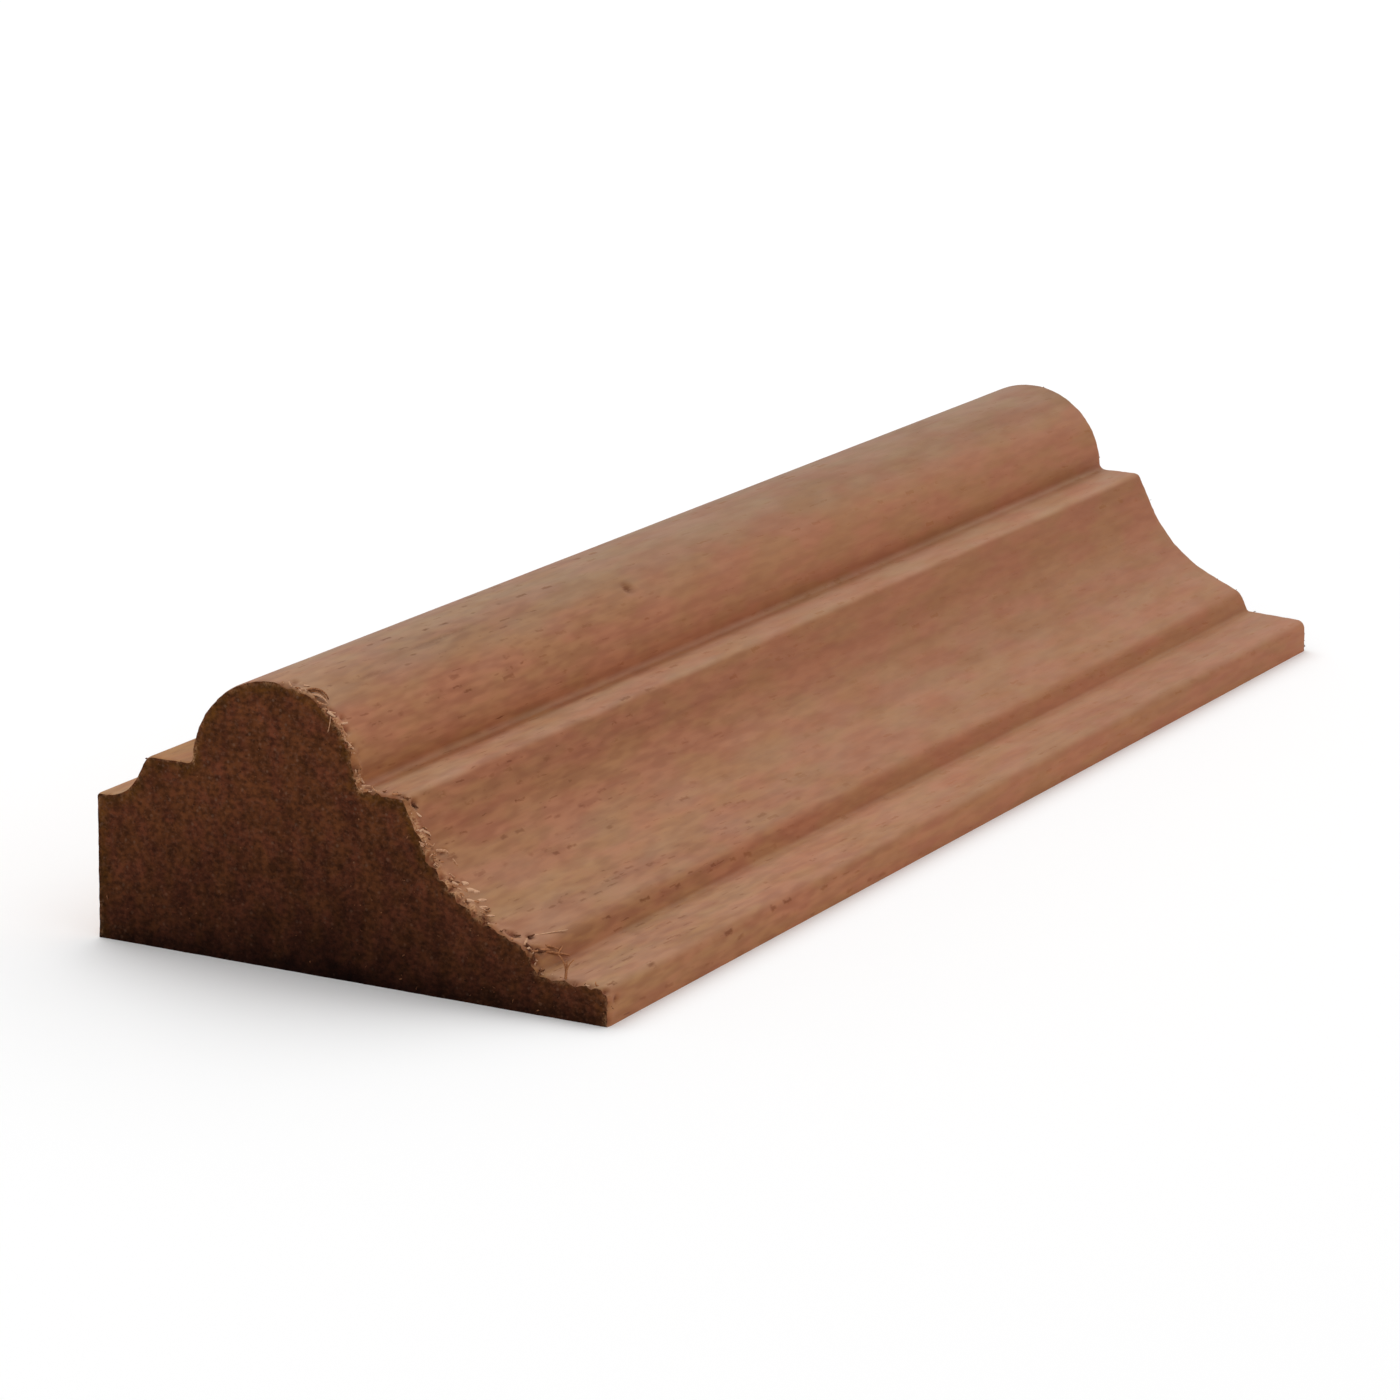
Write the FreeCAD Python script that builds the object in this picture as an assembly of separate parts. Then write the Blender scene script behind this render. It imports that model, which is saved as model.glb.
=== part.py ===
import FreeCAD, Part
import os

# A short cut length of hardwood nose and cove moulding, in millimetres.
# One stick of wood, run through a moulder: a half-round nose stands between two
# fillets, a broad cove falls from the front fillet to a step and a thin ledge, and
# a small cove falls from the back fillet to the thick back edge.
# X runs along the stick, Y across the section from the thin edge to the thick one,
# and Z up from the flat planed face that goes against the wall.
# The origin is on that flat face, in the middle of the stick.

stick_length = 152.4

# Heights above the flat face
front_edge_height = 3.3
ledge_fall = 0.3            # the ledge sheds towards the thin edge
step_height = 1.85
cove_toe_rise = 3.75        # what the cove's flat toe climbs from the step
fillet_level = 17.1         # both fillets lie at this height
back_edge_height = 13.1

# Widths across the section, from the thin edge to the thick one
ledge_width = 6.6
step_lean = 0.9             # the step's face leans back this far as it rises
cove_toe_run = 8.25
cove_head_run = 4.1
front_fillet_width = 4.5
nose_radius = 8.3
back_fillet_width = 4.65
back_cove_run = 2.1
back_land_width = 3.1

# Radii of the hollows, the rounded shoulders and the eased arrises
cove_radius = 14.0
back_cove_radius = 3.5
shoulder_radius = 0.9
back_shoulder_radius = 1.0
ledge_arris_radius = 1.0
step_arris_radius = 1.6
step_root_radius = 0.4
quirk_root_radius = 0.6     # where the nose meets each fillet

SAME_PLACE = 1e-4


def section_stations():
    """Y of each change of form across the section, from the thin edge at 0."""
    widths = [
        ("step_root", ledge_width),
        ("step_arris", step_lean),
        ("cove", cove_toe_run),
        ("shoulder", cove_head_run),
        ("front_quirk", front_fillet_width),
        ("back_quirk", 2 * nose_radius),
        ("back_shoulder", back_fillet_width),
        ("back_cove", back_cove_run),
        ("back_edge", back_land_width),
    ]
    stations = {"front_edge": 0.0}
    reached = 0.0
    for name, width in widths:
        reached += width
        stations[name] = reached
    middle = reached / 2
    return {name: y - middle for name, y in stations.items()}


def section_corners():
    """The section's sharp corners as (y, z), before any of them is rounded."""
    y = section_stations()
    step_root = front_edge_height + ledge_fall
    step_top = step_root + step_height
    return {
        "front_foot": (y["front_edge"], 0.0),
        "ledge_arris": (y["front_edge"], front_edge_height),
        "step_root": (y["step_root"], step_root),
        "step_arris": (y["step_arris"], step_top),
        "cove": (y["cove"], step_top + cove_toe_rise),
        "shoulder": (y["shoulder"], fillet_level),
        "front_quirk": (y["front_quirk"], fillet_level),
        "back_quirk": (y["back_quirk"], fillet_level),
        "back_shoulder": (y["back_shoulder"], fillet_level),
        "back_cove": (y["back_cove"], back_edge_height),
        "back_arris": (y["back_edge"], back_edge_height),
        "back_foot": (y["back_edge"], 0.0),
    }


def place(corner):
    """A section corner as a point on the stick's near sawn end."""
    y, z = corner
    return FreeCAD.Vector(-stick_length / 2, y, z)


def section_face(corners):
    """The sharp section: straight faces from corner to corner, and the nose as a half circle."""
    names = list(corners)
    edges = []
    for start, end in zip(names, names[1:] + names[:1]):
        a, b = place(corners[start]), place(corners[end])
        if (start, end) == ("front_quirk", "back_quirk"):
            crown = (a + b) * 0.5 + FreeCAD.Vector(0, 0, nose_radius)
            edges.append(Part.Arc(a, crown, b).toShape())
        else:
            edges.append(Part.LineSegment(a, b).toShape())
    return Part.Face(Part.Wire(edges))


def long_edge(stick, corner):
    """The edge that runs the stick's whole length through a section corner."""
    middle = place(corner) + FreeCAD.Vector(stick_length / 2, 0, 0)
    for edge in stick.Edges:
        if edge.CenterOfMass.distanceToPoint(middle) < SAME_PLACE:
            return edge
    raise ValueError(f"no long edge at {corner}")


def moulded_stick():
    """The sharp section run to the stick's length, with its long corners hollowed, rounded and eased."""
    corners = section_corners()
    stick = section_face(corners).extrude(FreeCAD.Vector(stick_length, 0, 0))
    radii = {
        "cove": cove_radius,
        "back_cove": back_cove_radius,
        "shoulder": shoulder_radius,
        "back_shoulder": back_shoulder_radius,
        "front_quirk": quirk_root_radius,
        "back_quirk": quirk_root_radius,
        "step_arris": step_arris_radius,
        "step_root": step_root_radius,
        "ledge_arris": ledge_arris_radius,
    }
    for name, radius in radii.items():
        stick = stick.makeFillet(radius, [long_edge(stick, corners[name])])
    return stick.Solids[0]


os.makedirs("parts", exist_ok=True)
moulding = moulded_stick()
moulding.exportStep("parts/moulding.step")

box = moulding.BoundBox
print(f"valid {moulding.isValid()}, faces {len(moulding.Faces)}")
print(f"{box.XLength:.2f} x {box.YLength:.2f} x {box.ZLength:.2f} mm, {moulding.Volume / 1000:.2f} cm3")
print(f"section {moulding.Volume / stick_length:.1f} mm2")
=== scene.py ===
# %% [markdown]
# This lesson dresses a short length of hardwood moulding that is already drawn and packed at its true size.
# The real one is a single stick. A moulder planed its long faces to one section, and a saw cut both ends.
# So there are two finishes to learn, planed long grain and sawn end grain, and one small accident: the
# fibres that a saw tears out and leaves standing along an edge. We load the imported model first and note
# its box, because everything that follows has to keep to that size.

import math

import bpy
import numpy as np
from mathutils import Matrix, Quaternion, Vector


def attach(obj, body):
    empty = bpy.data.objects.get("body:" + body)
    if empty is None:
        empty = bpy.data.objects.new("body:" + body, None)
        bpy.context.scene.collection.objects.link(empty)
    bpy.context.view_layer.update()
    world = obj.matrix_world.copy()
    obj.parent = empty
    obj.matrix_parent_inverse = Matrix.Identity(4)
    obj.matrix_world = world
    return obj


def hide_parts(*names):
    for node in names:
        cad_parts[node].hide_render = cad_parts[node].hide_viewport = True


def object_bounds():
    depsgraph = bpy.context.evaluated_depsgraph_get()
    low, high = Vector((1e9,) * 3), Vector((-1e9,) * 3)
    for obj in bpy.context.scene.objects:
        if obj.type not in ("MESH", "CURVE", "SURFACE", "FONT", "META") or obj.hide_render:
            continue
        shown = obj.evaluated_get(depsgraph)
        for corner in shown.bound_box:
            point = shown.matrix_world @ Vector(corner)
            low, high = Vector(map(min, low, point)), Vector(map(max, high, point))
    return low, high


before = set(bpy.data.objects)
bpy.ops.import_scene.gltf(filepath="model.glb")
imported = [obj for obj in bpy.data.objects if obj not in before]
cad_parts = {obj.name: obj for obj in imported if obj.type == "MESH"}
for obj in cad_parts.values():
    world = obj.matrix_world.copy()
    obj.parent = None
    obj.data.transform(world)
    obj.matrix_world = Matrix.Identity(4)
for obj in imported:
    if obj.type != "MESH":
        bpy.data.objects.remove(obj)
cad_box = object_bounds()
MM = 0.001
low, high = (np.array(corner) / MM for corner in cad_box)
stick_length, stick_width, stick_height = high - low
half_length, half_width = stick_length / 2, stick_width / 2

# %% [markdown]
# The photograph fixes the camera. Its long lens shows in how slowly the parallel arrises draw together, and
# where they would meet gives the angle we look along the stick. A camera could be placed by typing in a
# position and three rotations, but an aim point, a distance and three named angles say what the numbers
# mean, and they are easy to correct one at a time.

# %% Camera
lens_length = 143.4             # mm, on a sensor 36 mm wide
aim_point = Vector((-3.87, 4.80, 8.18)) * MM
camera_distance = 536.9 * MM
azimuth = math.radians(-61.98)  # 0 looks across the stick, along +Y
elevation = math.radians(14.41)
roll = math.radians(0.79)


def sight_line(azimuth, elevation):
    """The unit vector a camera looks along: azimuth turns it about Z, elevation tips it down."""
    level = math.cos(elevation)
    return Vector((-math.sin(azimuth) * level, math.cos(azimuth) * level, -math.sin(elevation)))


looks = sight_line(azimuth, elevation)
camera = bpy.data.objects.new("camera", bpy.data.cameras.new("camera"))
camera.data.lens = lens_length
camera.data.sensor_width = 36.0
camera.data.clip_start = 0.01
camera.data.clip_end = 100.0
camera.location = aim_point - looks * camera_distance
camera.rotation_mode = "QUATERNION"
camera.rotation_quaternion = looks.to_track_quat("-Z", "Y") @ Quaternion((0, 0, 1), roll)
bpy.context.scene.collection.objects.link(camera)
bpy.context.scene.camera = camera
print("camera at", [round(value / MM, 1) for value in camera.location], "mm")

# %% [markdown]
# The photograph has a white ground and very soft light. Horizontal faces are the brightest, the side of
# the nose that faces us is darker, and the sawn end is in shade, so the main light hangs above and a little
# behind the stick, and the room is dimmest on the camera's side. Small lamps would draw hard shadows; a
# large area light is the studio's softbox, and its size is what softens the shadow.

# %% Softbox
softbox_side = 1.6          # m
softbox_distance = 1.6      # m from the aim point
softbox_watts = 12
overhead = Vector((0.25, 0.35, 1.0)).normalized()

lamp = bpy.data.lights.new("sky_box", "AREA")
lamp.shape = "SQUARE"
lamp.size = softbox_side
lamp.energy = softbox_watts
softbox = bpy.data.objects.new("sky_box", lamp)
softbox.location = aim_point + overhead * softbox_distance
softbox.rotation_mode = "QUATERNION"
softbox.rotation_quaternion = overhead.to_track_quat("Z", "Y")
bpy.context.scene.collection.objects.link(softbox)
print("softbox at", [round(value, 2) for value in softbox.location], "m")

# %% Light of the room
sky_dim = 0.25                      # how bright the room is in front of the sawn end, near the floor
sky_bright = 0.95                   # and opposite, high up behind the far end
bright_side = (0.75, -0.25, 0.6)    # a unit vector towards the brightest part of the room

world = bpy.data.worlds.new("studio")
world.use_nodes = True
bpy.context.scene.world = world
sky = world.node_tree
direction = sky.nodes.new("ShaderNodeTexCoord")
towards = sky.nodes.new("ShaderNodeVectorMath")
towards.operation = "DOT_PRODUCT"
towards.inputs[1].default_value = bright_side
strength = sky.nodes.new("ShaderNodeMapRange")
strength.inputs["From Min"].default_value = -1
strength.inputs["To Min"].default_value = sky_dim
strength.inputs["To Max"].default_value = sky_bright
background = sky.nodes["Background"].inputs
background["Color"].default_value = (1, 1, 1, 1)
sky.links.new(direction.outputs["Generated"], towards.inputs[0])
sky.links.new(towards.outputs["Value"], strength.inputs["Value"])
sky.links.new(strength.outputs["Result"], background["Strength"])
bpy.context.scene.view_settings.view_transform = "Standard"
print("room light from", sky_dim, "to", sky_bright)

# %% Floor
floor_size = 6.0        # m
floor_white = 0.96
half = floor_size / 2
floor_mesh = bpy.data.meshes.new("floor")
floor_corners = [(-half, -half, 0), (half, -half, 0), (half, half, 0), (-half, half, 0)]
floor_mesh.from_pydata(floor_corners, [], [(0, 1, 2, 3)])
floor = bpy.data.objects.new("floor", floor_mesh)
bpy.context.scene.collection.objects.link(floor)
paper = bpy.data.materials.new("pale_paper")
paper.use_nodes = True
paper_shader = paper.node_tree.nodes["Principled BSDF"]
paper_shader.inputs["Base Color"].default_value = (floor_white, floor_white, floor_white, 1)
paper_shader.inputs["Roughness"].default_value = 0.9
floor_mesh.materials.append(paper)
print("floor", floor_size, "m square")

# %% [markdown]
# Now the section, which is the whole character of a moulding. It is a chain of straight faces with each
# corner rounded, and a half-round nose between two fillets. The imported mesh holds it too, but as short
# flat facets. We write the same sizes again and work the arcs out, so the skin can be as fine as we like.

# %% Sizes of the section
front_edge_height = 3.3
ledge_fall = 0.3
ledge_width = 6.6
step_face = (0.9, 1.85)     # how far the step's face leans back, and how high it rises
cove_toe = (8.25, 3.75)     # the same of the flat toe of the cove
cove_head_run = 4.1
fillet_level = 17.1
front_fillet_width = 4.5
nose_radius = 8.3
back_fillet_width = 4.65
back_cove_run = 2.1
back_edge_height = 13.1
quirk_radius = 0.6
front_radii = (1.0, 0.4, 1.6, 14.0, 0.9)     # ledge arris, step root, step arris, cove, shoulder
back_radii = (1.0, 3.5, 0.3)                 # back shoulder, back cove, back arris
corner_steps, quirk_steps, nose_steps = 24, 16, 120
same_place = 1e-9       # mm
print(f"nose {2 * nose_radius:.1f} mm wide, fillets {fillet_level} mm above the floor")

# %% Arcs


def rounded_corner(before, corner, after, radius):
    """An arc in a corner. It leaves each straight at radius times the tangent of half the turn."""
    into = (corner - before) / np.hypot(*(corner - before))
    out = (after - corner) / np.hypot(*(after - corner))
    turn = math.atan2(into[0] * out[1] - into[1] * out[0], into @ out)
    start = corner - into * radius * abs(math.tan(turn / 2))
    side = np.array([-into[1], into[0]]) * math.copysign(radius, turn)
    sweep = np.linspace(0, abs(turn), corner_steps)
    return start + side + np.outer(np.sin(sweep), into * radius) - np.outer(np.cos(sweep), side)


def circle_arc(centre, radius, start, stop, steps):
    """Points on a circle between two angles: the centre plus radius times cosine and sine."""
    angle = np.linspace(start, stop, steps)
    return np.stack([centre[0] + radius * np.cos(angle), centre[1] + radius * np.sin(angle)], 1)


def rounded_corners(line, radii):
    """The arcs that round a chain's inner corners, one radius each."""
    return [rounded_corner(*line[index:index + 3], radius) for index, radius in enumerate(radii)]


print("each rounded corner has", corner_steps, "points, and the nose", nose_steps)

# %% The section as one line


def section_line():
    """The section from the front foot over the nose to the back foot, as (y, z) points in mm.

    Two arcs that meet give their common point twice, and one of the two is left out.
    """
    root_y, root_z = -half_width + ledge_width, front_edge_height + ledge_fall
    step_y, step_z = root_y + step_face[0], root_z + step_face[1]
    toe_y, toe_z = step_y + cove_toe[0], step_z + cove_toe[1]
    shoulder = toe_y + cove_head_run
    nose = shoulder + front_fillet_width + nose_radius
    back = nose + nose_radius + back_fillet_width
    front = np.array([(-half_width, 0), (-half_width, front_edge_height), (root_y, root_z),
        (step_y, step_z), (toe_y, toe_z), (shoulder, fillet_level), (nose, fillet_level)])
    rear = np.array([(nose, fillet_level), (back, fillet_level), (back + back_cove_run, back_edge_height),
        (half_width, back_edge_height), (half_width, 0)])
    reach = math.sqrt((nose_radius + quirk_radius) ** 2 - quirk_radius ** 2)
    tilt = math.asin(quirk_radius / (nose_radius + quirk_radius))
    level = fillet_level + quirk_radius
    crown = [
        circle_arc((nose - reach, level), quirk_radius, -math.pi / 2, -tilt, quirk_steps),
        circle_arc((nose, fillet_level), nose_radius, math.pi - tilt, tilt, nose_steps),
        circle_arc((nose + reach, level), quirk_radius, math.pi + tilt, math.pi * 1.5, quirk_steps)]
    parts = [front[:1], *rounded_corners(front, front_radii), *crown, *rounded_corners(rear, back_radii)]
    line = np.concatenate(parts + [rear[-1:]])
    repeated = np.hypot(*np.diff(line, axis=0).T) < same_place
    return line[np.concatenate([[True], ~repeated])]


def spread_evenly(line, count, turn_worth):
    """A line in equal steps of its length plus turn_worth times its turning, so tight arcs get more."""
    step = np.diff(line, axis=0)
    heading = np.unwrap(np.arctan2(step[:, 1], step[:, 0]))
    bend = np.abs(np.diff(heading, prepend=heading[0], append=heading[-1]))
    length = np.hypot(step[:, 0], step[:, 1])
    measure = np.concatenate([[0], np.cumsum(length + turn_worth * (bend[1:] + bend[:-1]) / 2)])
    even = np.linspace(0, measure[-1], count)
    return np.stack([np.interp(even, measure, line[:, axis]) for axis in (0, 1)], 1)


top_points = 400
turn_worth = 1.3        # mm of straight line that a turn of one radian counts for
section = spread_evenly(section_line(), top_points, turn_worth)
along_section = np.concatenate([[0], np.cumsum(np.hypot(*np.diff(section, axis=0).T))])
girth_end = along_section[-1]
print(f"section line {girth_end:.1f} mm, highest {section[:, 1].max():.2f} mm")

# %% [markdown]
# A planed face is never quite flat and a sawn end is rough, and both show because light catches them. That
# unevenness needs a random height that still changes smoothly. Value noise is the simplest kind: a random
# number at every crossing of a grid, eased from one to the next. Stretching the grid along the stick turns
# round bumps into long fibres. Blender's Displace modifier could do this too, but as arrays we can fade
# it, cut it off and aim it at one arris.

# %% Smooth random heights
noise_cells = 256       # the pattern repeats after so many crossings


def uneven(u, v, seed):
    """Value noise from -1 to 1: random heights at whole numbers of u and v, eased by 3t^2 - 2t^3."""
    u, v = np.broadcast_arrays(u, v)
    heights = np.random.default_rng(seed).uniform(-1, 1, (noise_cells, noise_cells))
    left, below = np.floor(u).astype(int) % noise_cells, np.floor(v).astype(int) % noise_cells
    right, above = (left + 1) % noise_cells, (below + 1) % noise_cells
    s, t = u - np.floor(u), v - np.floor(v)
    s, t = s * s * (3 - 2 * s), t * t * (3 - 2 * t)
    near = heights[left, below] * (1 - s) + heights[right, below] * s
    far = heights[left, above] * (1 - s) + heights[right, above] * s
    return near * (1 - t) + far * t


def ramp(value, start, stop):
    """0 before start, 1 after stop, eased between by 3t^2 - 2t^3; start may be the larger."""
    t = np.clip((value - start) / (stop - start), 0, 1)
    return t * t * (3 - 2 * t)


print("a ramp's middle is", ramp(0.5, 0, 1))

# %% [markdown]
# The skin is one closed mesh. Each ring is the section at one station along the stick, and a ring is
# closed underneath by a coarse flat row. Stations crowd together near the ends, where the saw did its
# damage, and stand far apart in the plain middle, which keeps the count of faces low where nothing happens.

# %% Rings of the moulded skin
bottom_points = 44
fine_step = 0.12        # mm between stations at the sawn ends
coarse_step = 1.25      # mm in the middle
crowding = 0.11         # how fast the step grows with distance from an end
most_stations = 400
knock_x = -23.6         # a knock on the nose, the only mark of the middle that needs closer stations
knock_reach, knock_step = 1.6, 0.32

growth = np.arange(0, most_stations)
end_part = fine_step / crowding * ((1 + crowding) ** growth - 1)
end_part = end_part[end_part * crowding + fine_step < coarse_step]
first, last = end_part[-1], stick_length - end_part[-1]
middle = np.linspace(first, last, int((stick_length - 2 * first) / coarse_step))
stations = np.concatenate([end_part[:-1], middle, stick_length - end_part[-2::-1]]) - half_length
stations = np.union1d(stations, knock_x + np.arange(-knock_reach, knock_reach + 0.1, knock_step))

tangent = np.gradient(section, axis=0)
outward = np.stack([-tangent[:, 1], tangent[:, 0]], 1)
outward /= np.hypot(*outward.T)[:, None]
bottom_y = np.linspace(half_width, -half_width, bottom_points + 2)[1:-1]
loop = np.concatenate([section, np.stack([bottom_y, np.zeros(bottom_points)], 1)])
loop_outward = np.concatenate([outward, np.tile([0.0, -1.0], (bottom_points, 1))])
along_loop = np.concatenate([along_section, girth_end + half_width - bottom_y])
print(f"{len(stations)} rings of {len(loop)} points")

# %% [markdown]
# A saw enters the wood cleanly on one side and tears it where its teeth come out. Here they came out along
# the near arris, from the step to the top of the nose, and left nicks, chips and pale broken fibre. A few
# marks came later, such as the knock on the nose. Colour alone would look flat at the outline, and
# sculpting by hand couldn't be repeated, so each kind of damage is a formula of the distance from the end
# and of the place along the section, and the marks large enough to recognise have a row each.

# %% Where the damage is
torn_edge = (9.0, 44.0)     # along the section, in mm
tear_fade = 3               # mm over which the tearing starts and stops
far_share = 0.12            # the saw went in at the far end and left it nearly whole
# Along the section in mm, and how much pale broken fibre shows there.
pale_places = np.array([(16.0, 0.15), (17.0, 0.8), (21.4, 1.0), (22.2, 0.3), (23.4, 0.9), (27.7, 0.9),
    (28.2, 0.1), (32.7, 0.2), (33.2, 0.9), (34.5, 0.9), (35.2, 0.3), (37.0, 0.6), (40.8, 0.8), (41.3, 0.2),
    (43.0, 0.3), (43.5, 0.9), (44.0, 0.1)])
# Along the section, and how far from the end that fibre reaches, both in mm.
pale_reach = np.array([(16.0, 1.6), (24.0, 1.4), (30.0, 0.8), (44.0, 0.6)])
# Larger marks: place along the stick and the section, half length, half width, depth in mm, and darkness.
handling = [
    dict(x=knock_x, s=40.6, long=0.75, wide=0.58, deep=0.30, dark=0.75),    # the knock on the nose
    dict(x=-61.6, s=8.3, long=0.22, wide=0.6, deep=0.14, dark=0.55),        # a scratch across the ledge
    dict(x=-74.9, s=2.15, long=0.35, wide=0.3, deep=0.2, dark=0.8),         # a pit in the thin edge
    dict(x=-53.0, s=43.2, long=6.0, wide=0.28, deep=0.03, dark=0.38),       # two streaks on the nose
    dict(x=-67.0, s=42.2, long=3.0, wide=0.25, deep=0.03, dark=0.32)]
# Tears: distance from the near end, place along the section, half length, half width, darkness.
# The tear 2.1 mm from the end at 23.4 mm is a dent with a painted shadow, that of the pale curl rooted at
# 23.8 mm.
tear_rows = [
    (1.1, 28.2, 0.45, 0.3, 1.0), (0.4, 29.2, 0.45, 0.3, 0.8), (2.1, 23.4, 0.5, 0.22, 0.9),
    (0.1, 22.8, 0.4, 0.3, 0.8), (0.1, 19.2, 0.45, 0.3, 1.0), (1.3, 20.9, 0.5, 0.2, 0.4),
    (1.3, 16.9, 0.6, 0.2, 0.4), (0.9, 13.7, 0.45, 0.3, 1.0), (2.1, 12.8, 0.45, 0.3, 1.0),
    (0.7, 11.7, 0.45, 0.3, 1.0), (1.3, 11.3, 0.45, 0.3, 1.0), (0.3, 10.7, 0.5, 0.35, 0.9),
    (1.3, 44.9, 0.5, 0.25, 0.7), (1.2, 39.4, 0.35, 0.25, 0.6), (0.8, 38.2, 0.35, 0.25, 0.5),
    (0.2, 35.0, 0.3, 0.5, 0.6), (0.1, 0.5, 0.40, 0.4, 0.8), (0.1, 1.9, 0.35, 0.3, 0.7),
    (0.2, 3.1, 0.40, 0.3, 0.9), (0.1, 4.6, 0.35, 0.3, 0.7), (0.1, 6.1, 0.35, 0.4, 0.6),
    (0.1, 8.2, 0.35, 0.4, 0.7), (0.2, 20.3, 0.30, 0.25, 0.8), (0.4, 18.6, 0.35, 0.2, 0.8),
    (0.1, 17.4, 0.35, 0.3, 0.9), (0.3, 16.3, 0.35, 0.25, 0.7), (0.2, 21.5, 0.30, 0.3, 0.8),
    (0.2, 24.8, 0.3, 0.25, 0.6)]
tear_depth = 0.3        # mm
tears = [dict(x=gap - half_length, s=place, long=long, wide=wide, deep=tear_depth, dark=dark)
    for gap, place, long, wide, dark in tear_rows]
print(len(tears), "tears and", len(handling), "marks from handling")

# %% How each kind of damage is shaped
tooth_mark = 0.05           # mm, what every tooth leaves
saw_gap = 0.06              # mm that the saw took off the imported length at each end
nick_depth = 0.9            # mm, where the saw tore worst
sharp_arris = 0.08          # mm, radius of a sawn arris that wasn't torn
torn_arris = 0.22           # mm more where it was


def tearing(s):
    """How badly the sawn arris is torn at a place along the section, from 0 to 1.

    It is 0.1 on every arris, 0.3 round the thin edge and on the ledge, and 1 along the torn edge.
    """
    start, stop = torn_edge
    starts = ramp(s, start - tear_fade, start)
    inside = starts * ramp(s, stop + tear_fade, stop)
    return 0.1 + 0.2 * ramp(s, start, start - tear_fade) + 0.7 * inside + 0.2 * inside * starts


def sawn_depth(s, seed, share):
    """How far inward the sawn edge stands, in mm: small teeth everywhere and deep nicks where it tore."""
    teeth = tooth_mark * uneven(s / 0.35, 0.5, seed)
    nicks = np.clip(uneven(s / 0.9, 0.5, seed + 1) * uneven(s / 0.31, 3.5, seed + 2), 0, 1)
    return saw_gap + teeth + share * tearing(s) * nicks ** 1.5 * nick_depth


def arris_wear(s, seed, share):
    """Radius in mm to which the sawn arris has worn: larger where it tore, and uneven by value noise."""
    return (sharp_arris + torn_arris * share * tearing(s)) * (0.7 + 0.3 * uneven(s / 0.8, 0.5, seed))


def nearness(x, s, mark):
    """A bell curve of the distance from a mark, measured in the mark's own length and width."""
    return np.exp(-((x - mark["x"]) / mark["long"]) ** 2 - ((s - mark["s"]) / mark["wide"]) ** 2)


def bruise(x, s, mark):
    """A smooth hollow with a low rim round it, from a knock: a narrow bell less a quarter of a wide one."""
    bell = nearness(x, s, mark)
    return mark["deep"] * (1.15 * bell - 0.25 * bell ** (1 / 3))


print("tearing at the edge, on the ledge, on the cove:", tearing(np.array([1.0, 5.0, 20.0])).round(2))

# %% Relief from the planer and the saw
planer_wave, planer_fibre = 0.012, 0.006                # mm
pit_depth, curl_rise, chip_depth = 0.22, 0.20, 0.34     # mm at the end, where the tearing is 1
pit_fade, chip_fade, wear_reach = 0.9, 0.55, 0.45       # mm from the end

x, s = np.meshgrid(stations, along_loop, indexing="ij")
from_near, from_far = x + half_length, half_length - x
on_top = (s <= girth_end).astype(float)


def lumps(length, width, seed):
    """Value noise over the skin, its lumps so many mm long along the stick and wide along the section."""
    return uneven(x / length, s / width, seed)


lift = planer_wave * lumps(22, 1.3, 11) + planer_fibre * lumps(4, 0.5, 12)
burr, torn = np.zeros(x.shape), np.zeros(x.shape)
for distance, seed, share in ((from_near, 21, 1.0), (from_far, 31, far_share)):
    badly = share * tearing(s) * on_top
    pits = np.clip(lumps(0.7, 0.45, seed) * lumps(2.1, 1.3, seed + 5) * 3, 0, 1)
    curls = np.clip(lumps(0.7, 0.5, seed + 1) + 0.15, 0, 1)
    chips = 1.3 * uneven(s / 0.9, 2.5, seed + 6) + 0.5 * uneven(s / 0.35, 4.5, seed + 7)
    chips = np.clip(chips - 0.15, 0, 1)
    lift -= pit_depth * pits * badly * np.exp(-distance / pit_fade)
    lift += curl_rise * curls * badly * np.exp(-(distance / pit_fade) ** 2)
    lift -= chip_depth * chips * badly * np.exp(-(distance / chip_fade) ** 2)
    lift -= arris_wear(s, seed + 3, share) * (1 - np.sqrt(1 - ramp(distance, wear_reach, 0) ** 2)) * on_top
    # Pits and chips are darkened: darker torn wood, and their shade painted in
    dark_pits = 0.8 * pits * ramp(distance, 1.6, 0.2)
    dark_chips = 0.5 * chips * ramp(distance, 0.6, 0.1)
    torn += (dark_pits + dark_chips) * badly
    patches = np.interp(s, *pale_places.T) * ramp(lumps(0.6, 0.35, seed + 2), -0.7, 0.4)
    reach = np.interp(s, *pale_reach.T)
    pale_band = 0.8 * ramp(distance, 0.8 * reach, 0.15)
    pale_curls = 0.6 * curls * ramp(distance, 1.5 * reach, 0.2)
    burr += patches * (pale_band + pale_curls) * badly
print(f"relief from {lift.min():.2f} to {lift.max():.2f} mm")

# %% Marks that have a row each
for mark in handling + tears:
    lift -= bruise(x, s, mark)
    torn += mark["dark"] * nearness(x, s, mark)
for tear in tears:      # pale fibre shows on the lower side of each tear
    burr += 0.35 * nearness(x, s + 0.8 * tear["wide"], tear)
burr, torn = np.clip(burr, 0, 1), np.clip(torn, 0, 1)

end_reach = 3           # mm over which the rings turn from the sawn edge's outline to flat
shift = sawn_depth(s, 41, 1.0) * ramp(from_near, end_reach, 0)
shift -= sawn_depth(s, 51, far_share) * ramp(from_far, end_reach, 0)
ring_y, ring_z = (loop[:, axis] + lift * loop_outward[:, axis] for axis in (0, 1))
rings = np.stack([x + shift, ring_y, ring_z], -1)
rings[..., 2] = np.maximum(rings[..., 2], 0)
print(f"relief from {lift.min():.2f} to {lift.max():.2f} mm with the marks")
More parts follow.
